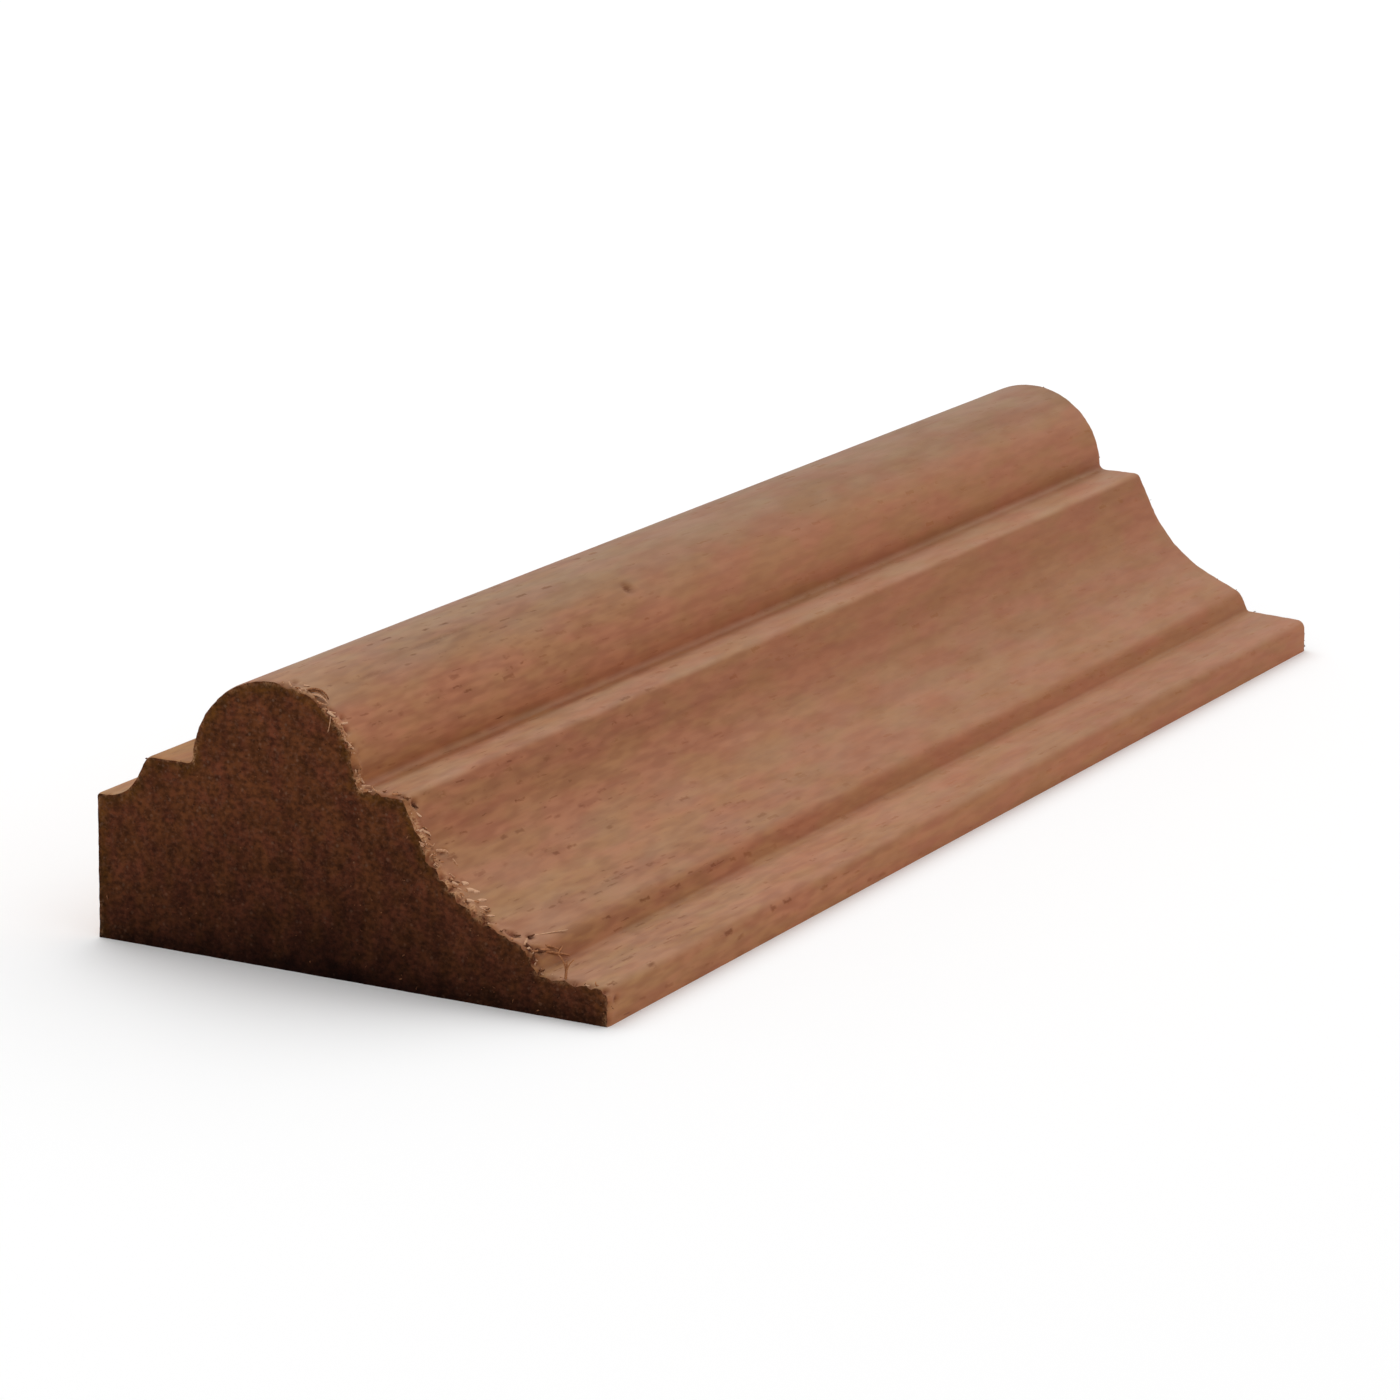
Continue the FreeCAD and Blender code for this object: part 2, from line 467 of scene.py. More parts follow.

# %% Painted shade in the hollows
quirk_turn = 0.12           # a quirk is where the slope grows by more than this from one point to the next
shade_aside = [-0.25, 0.25]  # mm: the painted shade lies on the fillets, not up the nose
shade_width = 0.58
root_width, root_share = 0.7, 0.35

slope = np.diff(section[:, 1]) / np.diff(along_section)
is_quirk = (np.diff(slope) > quirk_turn) & (abs(section[1:-1, 1] - fillet_level) < 1)
hollow = along_section[1:-1][is_quirk]
quirks = np.array([hollow[hollow < hollow.mean()].mean(), hollow[hollow > hollow.mean()].mean()])
from_shade = np.abs(s[..., None] - (quirks + shade_aside)).min(-1)
# Painted shade in the quirks, most in the near half, but less again right beside the near end.
hollow_shade_and_end_rim = np.exp(-(from_shade / shade_width) ** 2) * (0.3 + 0.7 * ramp(x, 60, -60))
hollow_shade_and_end_rim *= 0.5 + 0.5 * ramp(from_near, 1, 11)
step_root = along_section[np.abs(section[:, 0] + half_width - ledge_width).argmin()]
# Painted shade along the root of the step too
hollow_shade_and_end_rim += root_share * np.exp(-((s - step_root + 0.3) / root_width) ** 2) * on_top
print(f"dirt lies by the quirks at {quirks.round(1)} mm and at the step's root, {step_root:.1f} mm")

# %% [markdown]
# A sawn end is a flat face with a rough skin. Filling the outline with one many-sided face would give
# nothing to roughen, so each point of the moulded outline is ruled down to a point on the flat back, and
# the rule is cut into rows. The rows lie close together under the torn arris, where the damage is. The
# point's foot is mostly straight below it, moved a little by the distance along the section, so that the
# upright faces of the step and the nose get rules of their own.

# %% Rows of a sawn end
end_rows = 36
row_crowding = 1.7      # over 1 draws the rows towards the moulded edge
aslant = 0.12           # how much of a foot's place comes from the distance along the section
ridge_height, tuft_height = 0.035, 0.05     # mm
torn_depth = 0.45       # mm over which the arris's own nicks fade downwards

foot_share = (1 - aslant) * (section[:, 0] / stick_width + 0.5) + aslant * along_section / girth_end
foot_y = (foot_share - 0.5) * stick_width
fraction = ((np.arange(1, end_rows) / end_rows) ** row_crowding)[:, None]


def sawn_rows(ring, end, seed):
    """Points of one end (-1 near, 1 far), row by row below the moulded outline.

    A row lies at the same fraction of the way from each outline point to its foot. Ridges that lean like
    the saw's cut and small tufts move it off the end's plane, and so does the torn outline close above.
    """
    outline = ring[:top_points]
    plane = end * half_length
    y = outline[:, 1] + fraction * (foot_y - outline[:, 1])
    z = outline[:, 2] * (1 - fraction)
    depth = outline[:, 2] - z
    ridges = ridge_height * uneven(z / 0.55 + y / 9, y / 14, seed)
    saw_marks = ridges + tuft_height * uneven(y / 0.42, z / 0.42, seed + 1)
    torn_in = (outline[:, 0] - plane) * np.exp(-depth / torn_depth)
    x = plane + torn_in + (saw_marks + tuft_height) * -end * ramp(depth, 0, 0.3)
    return np.stack([x, y, z], -1).reshape(-1, 3)


def end_masks(rows, seed, share):
    """How much pale fibre and how matted a brush each point of an end has, by its distance from the arris.

    Pale fibre lies within 0.7 mm of it, in patches, and the matted rim between 0.1 and about 1.5 mm.
    """
    y, z = rows[:, 1:].reshape(-1, top_points, 2).transpose(2, 0, 1)
    from_arris = np.hypot(y[..., None] - section[:, 0], z[..., None] - section[:, 1]).min(-1)
    patches = uneven(y / 0.5, z / 0.5, seed + 2) + 0.5 * uneven(y / 0.17, z / 0.17, seed + 3)
    by_back_quirk = 0.9 * np.exp(-((along_section - quirks[1] + 1.2) / 1.3) ** 2)
    pale = share * (np.interp(along_section, *pale_places.T) + by_back_quirk)
    frayed = ramp(from_arris, 0.7, 0.05) * (0.2 + 0.8 * pale) * ramp(patches, -0.5, 0.7)
    rim = ramp(from_arris + 0.4 * uneven(y / 0.9, z / 0.9, seed + 4), 1.5, 0.4) * ramp(from_arris, 0.1, 0.4)
    rim *= 0.3 + 0.7 * ramp(along_section, 18, 26)
    return frayed, rim


def inner_columns(values):
    """An end's values without the first and last of each row, whose places the skin's foot points take."""
    rows = values.reshape(end_rows - 1, top_points, -1)[:, 1:-1]
    return rows.reshape(-1, rows.shape[-1])


ring_count, loop_count = rings.shape[:2]
skin_count = ring_count * loop_count
near_points, far_points = sawn_rows(rings[0], -1, 61), sawn_rows(rings[-1], 1, 71)
print(f"each end has {end_rows - 1} rows of {top_points} points")

# %% Triangles that close the ends


def end_triangles():
    """Triangles of the near end: strips between the rows, then a fan onto the coarse points underneath.

    Each row begins and ends at the two foot points of the skin itself.
    """
    below = skin_count + np.arange((end_rows - 1) * (top_points - 2)).reshape(end_rows - 1, -1)
    index = np.zeros((end_rows, top_points), int)
    index[0] = np.arange(top_points)
    index[1:, 1:-1] = below
    index[:, -1] = top_points - 1
    a, b, c, d = index[:-1, :-1], index[:-1, 1:], index[1:, 1:], index[1:, :-1]
    strips = [np.stack(three, -1).reshape(-1, 3) for three in ((a, d, c), (a, c, b))]
    under = np.concatenate([[0], np.arange(loop_count - 1, top_points - 1, -1), [top_points - 1]])
    under_y = np.concatenate([[-half_width], bottom_y[::-1], [half_width]])
    nearest = np.abs(foot_y[:, None] - under_y).argmin(1)
    nearest[0], nearest[-1] = 0, len(under) - 1
    last = index[-1]
    fan = np.stack([last[:-1], under[nearest[:-1]], last[1:]], -1)
    turns = np.flatnonzero(np.diff(nearest))
    fill = np.stack([last[turns + 1], under[nearest[turns]], under[nearest[turns + 1]]], -1)
    triangles = np.concatenate(strips + [fan, fill])
    a, b, c = triangles.T
    return triangles[(a != b) & (b != c) & (a != c)][:, ::-1]


near_faces = end_triangles()
far_ring = (ring_count - 1) * loop_count
beyond = np.where(near_faces >= skin_count, len(inner_columns(near_points)), far_ring)
far_faces = (near_faces + beyond)[:, ::-1]
ring_index = np.arange(skin_count).reshape(ring_count, loop_count)
ahead = np.roll(ring_index, -1, axis=1)
quads = np.stack([ring_index[:-1], ring_index[1:], ahead[1:], ahead[:-1]], -1).reshape(-1, 4)
print(f"{len(quads)} long faces, {len(near_faces) + len(far_faces)} triangles on the sawn ends")

# %% Build the stick
near_frayed, near_rim = end_masks(near_points, 61, 1.0)
far_frayed, far_rim = end_masks(far_points, 71, far_share)
points = np.concatenate([rings.reshape(-1, 3), inner_columns(near_points), inner_columns(far_points)])
on_points = {
    "burr": (burr, near_frayed, far_frayed),
    "torn": (torn, 0 * near_frayed, 0 * far_frayed),
    "hollow_shade_and_end_rim": (hollow_shade_and_end_rim, near_rim, far_rim)}
faces = quads.tolist() + near_faces.tolist() + far_faces.tolist()
is_sawn = np.arange(len(faces)) >= len(quads)
stick_mesh = bpy.data.meshes.new("moulded_stick")
stick_mesh.from_pydata((points * MM).tolist(), [], faces)
stick_mesh.polygons.foreach_set("use_smooth", np.ones(len(faces), bool))
for name, (skin, *ends) in on_points.items():
    values = np.concatenate([skin.ravel()] + [inner_columns(end).ravel() for end in ends])
    stick_mesh.attributes.new(name, "FLOAT", "POINT").data.foreach_set("value", values.astype(np.float32))
stick_mesh.update()
stick_mesh.set_sharp_from_angle(angle=math.radians(50))
stick = bpy.data.objects.new("moulded_stick", stick_mesh)
bpy.context.scene.collection.objects.link(stick)
print("mesh is valid:", not stick_mesh.validate(), len(stick_mesh.vertices), "points")

# %% [markdown]
# The patterns in this lesson need no UV map, but they are baked into a picture when the model leaves
# Blender, and a picture does. Blender's own unwrapping would cut the stick into many islands. Since we know
# how the mesh was made, the skin can be laid out as one sheet, length by girth, with its flat back squeezed
# narrow because nobody sees it, and the sawn ends side by side above it, enlarged one and a half times.

# %% Lay the skin and the ends flat
map_gap = 1.2           # mm between islands
back_squeeze = 0.4      # share of its width that the flat back keeps
end_enlarged = 1.5

girth = np.concatenate([along_section, girth_end + (half_width - bottom_y) * back_squeeze,
    [girth_end + stick_width * back_squeeze]])
ring, place = np.meshgrid(np.arange(ring_count - 1), np.arange(loop_count), indexing="ij")
corners = [(ring, place), (ring + 1, place), (ring + 1, place + 1), (ring, place + 1)]
sheet = [np.stack([stations[along] + half_length, girth[around] + map_gap], -1)
    for along, around in corners]


def end_island(triangles, mirrored, column):
    """An end's corners on the map: y and z enlarged, each end in its own column above the skin."""
    y, z = points[triangles.ravel(), 1], points[triangles.ravel(), 2]
    across = (half_width + mirrored * y) * end_enlarged + column * (stick_width * end_enlarged + map_gap)
    return np.stack([across, girth[-1] + 2 * map_gap + z * end_enlarged], -1)


islands = [np.stack(sheet, 2).reshape(-1, 2), end_island(near_faces, -1, 0), end_island(far_faces, 1, 1)]
flat_map = np.concatenate(islands)
map_side = flat_map.max() + map_gap
flat_map /= map_side
stick_mesh.uv_layers.new(name="OFBake").data.foreach_set("uv", flat_map.ravel().astype(np.float32))
print(f"the map is a square of {map_side:.1f} mm, filled to {flat_map.max(0).round(2)}")

# %% [markdown]
# The saw also tears fibres loose where it leaves the wood, and some stay hanging on the arris: straight
# splinters, pale curls and dark twigs, most of them under a millimetre long. Blender's hair system could
# grow them, but hair is drawn only when rendering, and a mesh can go anywhere. So each fibre is a thin
# closed tube along its own curling line, and the points of all of them are worked out in one go.

# %% Curling fibres
taper = 0.5         # share of its width that a fibre has lost at its tip
thinness = 0.6      # thickness over width


def fibre_tubes(root, along, bend, length, width, lift, curl, stops):
    """Points and faces of closed four-sided tubes, one for each root.

    At a share t of its length a fibre heads cos(a) along plus sin(a) bend, where a is lift plus curl times
    t^1.4, and its line is those headings added up from the root. Half its width is width / 2 times
    1 - taper t^2, so it narrows slowly at first.
    """
    t = np.linspace(0, 1, stops)
    angle = (lift[:, None] + curl[:, None] * t ** 1.4)[..., None]
    heading = np.cos(angle) * along[:, None] + np.sin(angle) * bend[:, None]
    step = heading * length[:, None, None] / (stops - 1)
    line = root[:, None] + np.cumsum(step, axis=1) - step
    side = np.broadcast_to(np.cross(along, bend)[:, None], line.shape)
    half = (width[:, None] / 2 * (1 - taper * t ** 2))[..., None]
    up = np.cross(side, heading) * half * thinness
    tubes = line[:, :, None] + np.stack([side * half, up, -side * half, -up], 2)
    ring, corner = np.meshgrid(np.arange(stops - 1) * 4, np.arange(4), indexing="ij")
    ahead = (corner + 1) % 4
    sides = np.stack([ring + corner, ring + 4 + corner, ring + 4 + ahead, ring + ahead], -1).reshape(-1, 4)
    tip = 4 * stops - 4
    tube_faces = np.concatenate([sides, [[0, 1, 2, 3], [tip + 3, tip + 2, tip + 1, tip]]])
    faces = tube_faces + np.arange(len(root))[:, None, None] * 4 * stops
    return tubes.reshape(-1, 3), faces.reshape(-1, 4)


def fibre_map(tone, stops):
    """Map corners of such tubes: a fibre is a column, the columns stand in order of tone, t runs upward."""
    t = 0.05 + 0.9 * np.linspace(0, 1, stops)
    ring, corner = np.meshgrid(np.arange(stops - 1), np.arange(4), indexing="ij")
    corners = ((0, 0), (1, 0), (1, 1), (0, 1))
    sides = np.stack([np.stack([1 - (corner + turn) / 4, t[ring + rise]], -1) for rise, turn in corners], 2)
    caps = np.array([[0, 0], [1, 0], [1, 0.04], [0, 0.04], [0, 0.96], [1, 0.96], [1, 1], [0, 1]])
    column = np.concatenate([sides.reshape(-1, 2), caps])
    order = np.argsort(np.argsort(tone))[:, None]
    across = (order + 0.05 + 0.9 * column[:, 0]) / len(tone)
    return np.stack([across, np.broadcast_to(column[:, 1], across.shape)], -1)


print("a fibre's tip is", taper, "as wide as its root")

# %% One object of many fibres


def fibre_piece(name, batches):
    """One object of several batches of fibres, each the arguments of fibre_tubes and the fibres' tones."""
    made = [fibre_tubes(*shape) for shape, tone in batches]
    starts = np.cumsum([0] + [len(tubes) for tubes, sides in made])
    tubes_points = np.concatenate([tubes for tubes, sides in made])
    tubes_faces = np.concatenate([sides + start for (tubes, sides), start in zip(made, starts)])
    mesh = bpy.data.meshes.new(name)
    mesh.from_pydata((tubes_points * MM).tolist(), [], tubes_faces.tolist())
    tones = np.concatenate([np.repeat(tone, 4 * shape[-1]) for shape, tone in batches])
    mesh.attributes.new("tone", "FLOAT", "POINT").data.foreach_set("value", tones.astype(np.float32))
    uv = [(fibre_map(tone, shape[-1]).reshape(-1, 2) + [0, strip]) * [1, 1 / len(batches)]
        for strip, (shape, tone) in enumerate(batches)]
    mesh.uv_layers.new(name="OFBake").data.foreach_set("uv", np.concatenate(uv).ravel().astype(np.float32))
    mesh.polygons.foreach_set("use_smooth", np.ones(len(mesh.polygons), bool))
    mesh.update()
    piece = bpy.data.objects.new(name, mesh)
    bpy.context.scene.collection.objects.link(piece)
    print(name, "has", len(tones), "points")
    return piece


def unit(vectors):
    """Vectors shortened or stretched to length 1."""
    return vectors / np.linalg.norm(vectors, axis=-1, keepdims=True)


fibre_sink = 0.04       # mm that a root lies under the skin


def on_the_arris(gap, s, heading, roll):
    """Roots, first directions and bending directions of fibres, by their places near the near end.

    A root is gap mm from the end. The first direction lies in the moulded face: heading turns it from
    straight into the stick (0) towards rising s (90 degrees) and off the end (180). The fibre bends out of
    the face, or sideways by the roll.
    """
    y, z, out_y, out_z = (np.interp(s, along_section, values) for values in (*section.T, *outward.T))
    inward = np.tile([1.0, 0.0, 0.0], (len(s), 1))
    out = unit(np.stack([0 * s, out_y, out_z], -1))
    rising = np.stack([0 * s, out[:, 2], -out[:, 1]], -1)
    heading, roll = np.radians(heading)[:, None], np.radians(roll)[:, None]
    along = np.cos(heading) * inward + np.sin(heading) * rising
    across = np.cos(heading) * rising - np.sin(heading) * inward
    root = np.stack([gap - half_length, y, z], -1) - fibre_sink * out
    return root, along, np.cos(roll) * out + np.sin(roll) * across


print("fibres are rooted", fibre_sink, "mm under the skin")

# %% [markdown]
# A few fibres are large enough to recognise in the photograph, so they get a row each. The others are drawn
# at random: small strays of every tone wherever the arris is torn, and pale tufts where the pale fibre is,
# which lean the way that the saw pushed them. The far arris has none. Short stubs stand all over both sawn
# ends, like the pile of a brush.

# %% Fibres to recognise
# Gap from the end, place along the section, heading, roll, length, width, lift, curl, tone (1 is dark; pale
# and dark tones are partly painted light and shade).
recognised = np.array([
    (0.3, 7.1, 0, 0, 1.6, 0.28, 1.52, 0.05, 0.60), (0.35, 7.15, 90, 0, 2.3, 0.30, 1.62, -1.1, 0.58),
    (0.25, 7.05, 270, 0, 2.1, 0.28, 1.60, -1.0, 0.56), (2.1, 11.0, 337, 0, 3.3, 0.28, 0.12, -0.15, 0.60),
    (2.7, 11.4, 325, 0, 1.4, 0.30, 0.20, -0.30, 0.64), (1.3, 11.3, 345, 0, 1.5, 0.26, 0.20, -0.30, 0.60),
    (3.6, 10.2, 20, 20, 1.3, 0.22, 0.30, -0.50, 0.58), (2.6, 12.85, 343, 0, 4.2, 0.15, 0.04, 0.0, 0.15),
    (0.7, 11.8, 110, 30, 0.6, 0.36, 0.20, 0.8, 0.92), (1.3, 11.4, 300, 20, 0.8, 0.48, 0.20, 0.8, 0.94),
    (2.1, 12.9, 330, 20, 0.6, 0.34, 0.20, 0.6, 0.90), (0.9, 13.7, 300, 0, 0.6, 0.34, 0.15, 0.6, 0.90),
    (0.3, 10.7, 100, 0, 0.7, 0.40, 0.20, 0.8, 0.92), (0.5, 12.3, 20, 10, 0.8, 0.32, 0.20, 0.7, 0.15),
    (0.4, 11.5, 330, 0, 0.7, 0.32, 0.20, 0.6, 0.70), (1.0, 16.6, 340, 0, 0.8, 0.30, 0.15, -0.3, 0.08),
    (1.3, 17.7, 340, 0, 0.9, 0.28, 0.15, -0.3, 0.08), (1.9, 18.3, 345, 0, 1.0, 0.42, 0.15, -0.3, 0.05),
    (0.7, 18.8, 330, 0, 0.8, 0.45, 0.15, -0.3, 0.04), (2.3, 19.2, 345, 0, 0.8, 0.45, 0.20, -0.5, 0.02),
    (1.8, 19.6, 340, 0, 1.0, 0.56, 0.20, -0.5, 0.0), (1.9, 20.3, 345, 0, 0.8, 0.50, 0.20, -0.5, 0.0),
    (0.8, 20.8, 320, 0, 0.8, 0.34, 0.15, -0.4, 0.04), (2.9, 22.6, 275, 0, 0.8, 0.28, 0.15, -0.3, 0.28),
    (1.3, 23.8, 330, 0, 1.6, 0.32, 0.85, -1.9, 0.26), (0.7, 25.8, 320, 0, 1.1, 0.26, 0.50, -1.2, 0.10),
    (0.9, 27.4, 300, 0, 0.6, 0.32, 0.15, 0.5, 0.0), (1.1, 28.2, 275, 0, 0.6, 0.40, 0.20, 0.7, 0.93),
    (0.4, 29.1, 275, 0, 0.7, 0.34, 0.20, 0.7, 0.75), (0.3, 31.6, 90, 10, 0.7, 0.24, 0.30, 1.0, 0.30),
    (0.5, 33.4, 340, 0, 1.0, 0.32, 0.10, 0.2, 0.10), (0.5, 34.3, 300, 0, 0.9, 0.32, 0.10, 0.2, 0.15),
    (0.2, 37.3, 285, 0, 0.7, 0.34, 0.10, 0.4, 0.12), (0.2, 39.4, 278, 0, 0.9, 0.40, 0.04, 0.2, 0.38),
    (0.3, 38.6, 276, 0, 0.8, 0.40, 0.05, 0.2, 0.36), (0.2, 40.5, 282, 0, 0.8, 0.50, 0.05, 0.2, 0.04),
    (0.1, 40.0, 250, 0, 1.4, 0.16, -0.75, -0.3, 0.25), (0.8, 43.3, 282, 0, 2.3, 0.42, 0.70, -1.8, 0.72),
    (0.5, 42.7, 280, 0, 1.8, 0.34, 0.50, -1.3, 0.20), (0.8, 43.1, 278, 10, 1.9, 0.34, 0.60, -1.6, 0.45),
    (1.3, 44.0, 300, 0, 0.5, 0.34, 0.10, 0.3, 0.0), (0.2, 41.8, 285, 0, 0.9, 0.26, 0.10, 0.3, 0.35)])
gap, spot, heading, turned, *form, tone = recognised.T
batches = [((*on_the_arris(gap, spot, heading, turned), *form, 16), tone)]
print(len(recognised), "fibres to recognise")

# %% Fibres at random
tries, fibre_count = 900, 90
roll_spread = 40            # degrees
stray_gap = 0.7             # mm from the end
draw = np.random.default_rng(81)


def scattered(spot, gap, heading, size, length, width, lift, curl, stops):
    """A batch's arguments for fibre_tubes. Length and width go from least to most with the size drawn.

    The lift is drawn evenly between two angles, and the curl is a mean and a spread.
    """
    root, along, bend = on_the_arris(gap, spot, heading, draw.normal(0, roll_spread, len(spot)))
    return (root, along, bend, length[0] + length[1] * size, width[0] + width[1] * size,
        draw.uniform(*lift, len(spot)), draw.normal(*curl, len(spot)), stops)


spot = draw.uniform(0, girth_end, tries)
spot = spot[draw.random(tries) < 0.6 * (tearing(spot) - 0.1)][:fibre_count]
size = draw.random(len(spot)) ** 2
heading = 90 + 180 * draw.integers(0, 2, len(spot)) + draw.normal(0, 45, len(spot))
gap = draw.uniform(0, stray_gap, len(spot))
shape = scattered(spot, gap, heading, size, (0.25, 0.50), (0.12, 0.16), (-0.1, 0.4), (1.0, 0.9), 8)
batches.append((shape, draw.random(len(spot))))

spot = draw.uniform(pale_places[0, 0], pale_places[-1, 0], tries)
spot = spot[draw.random(tries) < np.interp(spot, *pale_places.T)][:fibre_count]
size = draw.random(len(spot)) ** 1.5
heading = np.interp(spot, (16, 21, 24, 34, 44), (343, 338, 308, 300, 280)) + draw.normal(0, 30, len(spot))
gap = draw.uniform(0.05, 1, len(spot)) * np.interp(spot, *pale_reach.T)
shape = scattered(spot, gap, heading, size, (0.22, 0.40), (0.13, 0.16), (0, 0.3), (0, 0.8), 7)
is_dark = draw.random(len(spot)) < 0.12
batches.append((shape, np.where(is_dark, 0.85, 0.1 + 0.5 * draw.random(len(spot)))))
arris_fibres = fibre_piece("torn_arris_fibres", batches)

# %% Stubs over the sawn ends
stub_count = 300
stub_sink = 0.06        # mm that a stub's root lies under the sawn face
clear_floor, clear_back = 0.3, 0.7      # mm that stubs keep from the floor and from the thick edge
batches = []
for end, face_points, seed in ((-1, near_points, 83), (1, far_points, 93)):
    draw = np.random.default_rng(seed)
    root = face_points[draw.integers(top_points, len(face_points), stub_count)]
    root = root + draw.normal(0, 0.15, (stub_count, 3)) * [0, 1, 1]
    root = root[(root[:, 2] > clear_floor) & (root[:, 1] < half_width - clear_back)]
    root[:, 0] -= stub_sink * end
    along = unit(draw.normal(0, 0.7, root.shape) * [0, 1, 1] + [end, 0, 0])
    bend = unit(np.cross(along, draw.normal(0, 1, root.shape)))
    size = draw.random(len(root)) ** 2
    curl = draw.normal(0.8, 0.5, len(root))
    shape = (root, along, bend, 0.14 + 0.20 * size, 0.09 + 0.09 * size, np.zeros(len(root)), curl, 5)
    batches.append((shape, 0.72 + 0.28 * draw.random(len(root)) ** 0.6))
end_stubs = fibre_piece("sawn_end_stubs", batches)

# %% [markdown]
# Both finishes are the same timber, seen along the grain and across it, so they should share one set of
# patterns. An image texture would show a seam where the two faces meet. Patterns worked out from the
# place in space run straight through the stick instead: a vessel that is a long dark scratch on a planed
# face is a round hole on the sawn end. A node group holds each pattern, and every material places it.

# %% Node helpers


def node(tree, kind, inputs=None, **settings):
    """Adds a shader node; inputs are values or sockets by name or number, settings are its own menus."""
    made = tree.nodes.new("ShaderNode" + kind)
    for name, value in settings.items():
        setattr(made, name, value)
    for name, value in (inputs or {}).items():
        if isinstance(value, bpy.types.NodeSocket):
            tree.links.new(value, made.inputs[name])
        else:
            made.inputs[name].default_value = value
    return made


def math_of(tree, operation, *values):
    """A Math node's result."""
    return node(tree, "Math", dict(enumerate(values)), operation=operation).outputs[0]


def remap(tree, value, start, stop, low=0.0, high=1.0):
    """A value eased from low at start to high at stop."""
    ends = {"Value": value, "From Min": start, "From Max": stop, "To Min": low, "To Max": high}
    return node(tree, "MapRange", ends, interpolation_type="SMOOTHSTEP").outputs["Result"]


def product(tree, *slopes):
    """The product of eased slopes: each a socket, start and stop, and low and high if not 0 and 1."""
    result = remap(tree, *slopes[0])
    for slope in slopes[1:]:
        result = math_of(tree, "MULTIPLY", result, remap(tree, *slope))
    return result


def blend(tree, share, first, second, blend_type="MIX"):
    """The first colour turned into the second by a share from 0 to 1."""
    mix = node(tree, "Mix", data_type="RGBA", blend_type=blend_type)
    for socket, value in ((mix.inputs[0], share), (mix.inputs[6], first), (mix.inputs[7], second)):
        if isinstance(value, bpy.types.NodeSocket):
            tree.links.new(value, socket)
        else:
            socket.default_value = value if socket == mix.inputs[0] else (*value, 1)
    return mix.outputs[2]


def cast_over(tree, colour, *layers):
    """A colour multiplied by one cast after another, each as far as its share goes."""
    for share, cast in layers:
        colour = blend(tree, share, colour, cast, "MULTIPLY")
    return colour


def noise(tree, position, size, detail=1.0):
    """Noise from 0 to 1 whose lumps have the given size in mm along X, Y and Z."""
    per_mm = [1 / length for length in size]
    scaled = node(tree, "VectorMath", {0: position, 1: per_mm}, operation="MULTIPLY")
    return node(tree, "TexNoise", {"Vector": scaled.outputs[0], "Scale": 1.0, "Detail": detail}).outputs


def attribute(tree, name):
    """A number that the mesh holds at each of its points."""
    return node(tree, "Attribute", attribute_name=name).outputs["Fac"]


def effect_group(name, inputs, outputs):
    """An empty node group with sockets named and typed by the two dictionaries, and its two inner ends."""
    group = bpy.data.node_groups.new(name, "ShaderNodeTree")
    for sockets, side in ((inputs, "INPUT"), (outputs, "OUTPUT")):
        for label, kind in sockets.items():
            group.interface.new_socket(label, in_out=side, socket_type="NodeSocket" + kind)
    return group, group.nodes.new("NodeGroupInput").outputs, group.nodes.new("NodeGroupOutput").inputs


def place_group(tree, group, **inputs):
    """Places a group in a material and returns its outputs."""
    return node(tree, "Group", inputs, node_tree=group).outputs


print("ten helpers add nodes to a tree")

# %% [markdown]
# Vessels are the tubes a hardwood carried water in. In this kind of timber they are few and large, about
# a third of a millimetre across, and they lean a few degrees out of the planed face, so each is cut open
# over a few millimetres and goes under again. A Voronoi texture in two dimensions scatters round dots over
# the section, one for each tube. Leaning and bending the coordinates along the stick bends the tubes.

# %% Vessels
tube_bend = 1.3                 # mm that a vessel wanders to either side
tube_lean = (0.030, 0.020)      # how much Y and Z fall for each mm along the stick

vessels, given, result = effect_group("vessels",
    {"Position": "Vector", "Spacing": "Float", "Radius": "Float", "Run": "Float"},
    {"Tube": "Float", "Dash": "Float"})
wander = noise(vessels, given["Position"], (13, 5, 5), 1.0)["Color"]
wander = node(vessels, "VectorMath", {0: wander, 1: (tube_bend,) * 3}, operation="MULTIPLY")
bent = node(vessels, "VectorMath", {0: given["Position"], 1: wander.outputs[0]}, operation="ADD")
axes = node(vessels, "SeparateXYZ", {0: bent.outputs[0]}).outputs
leaning = [math_of(vessels, "MULTIPLY_ADD", axes["X"], lean, axes[name])
    for lean, name in zip(tube_lean, "YZ")]
across = node(vessels, "CombineXYZ", dict(zip("XY", leaning))).outputs[0]
closeness = math_of(vessels, "DIVIDE", 1.0, given["Spacing"])
cells = node(vessels, "TexVoronoi", {"Vector": across, "Scale": closeness}, voronoi_dimensions="2D").outputs
random_of = node(vessels, "SeparateColor", {0: cells["Color"]}).outputs

# The distance from a tube's middle, ragged, against the tube's own radius
radius = math_of(vessels, "MULTIPLY", given["Radius"], remap(vessels, random_of["Red"], 0.0, 1.0, 0.5, 1.4))
radius = math_of(vessels, "MULTIPLY", radius, closeness)
ragged = noise(vessels, given["Position"], (0.7, 0.2, 0.2))["Fac"]
distance = math_of(vessels, "MULTIPLY", cells["Distance"], remap(vessels, ragged, 0.3, 0.7, 0.6, 1.4))
outer, inner = (math_of(vessels, "MULTIPLY", radius, share) for share in (1.4, 0.4))
tube = remap(vessels, distance, outer, inner)
vessels.links.new(tube, result["Tube"])

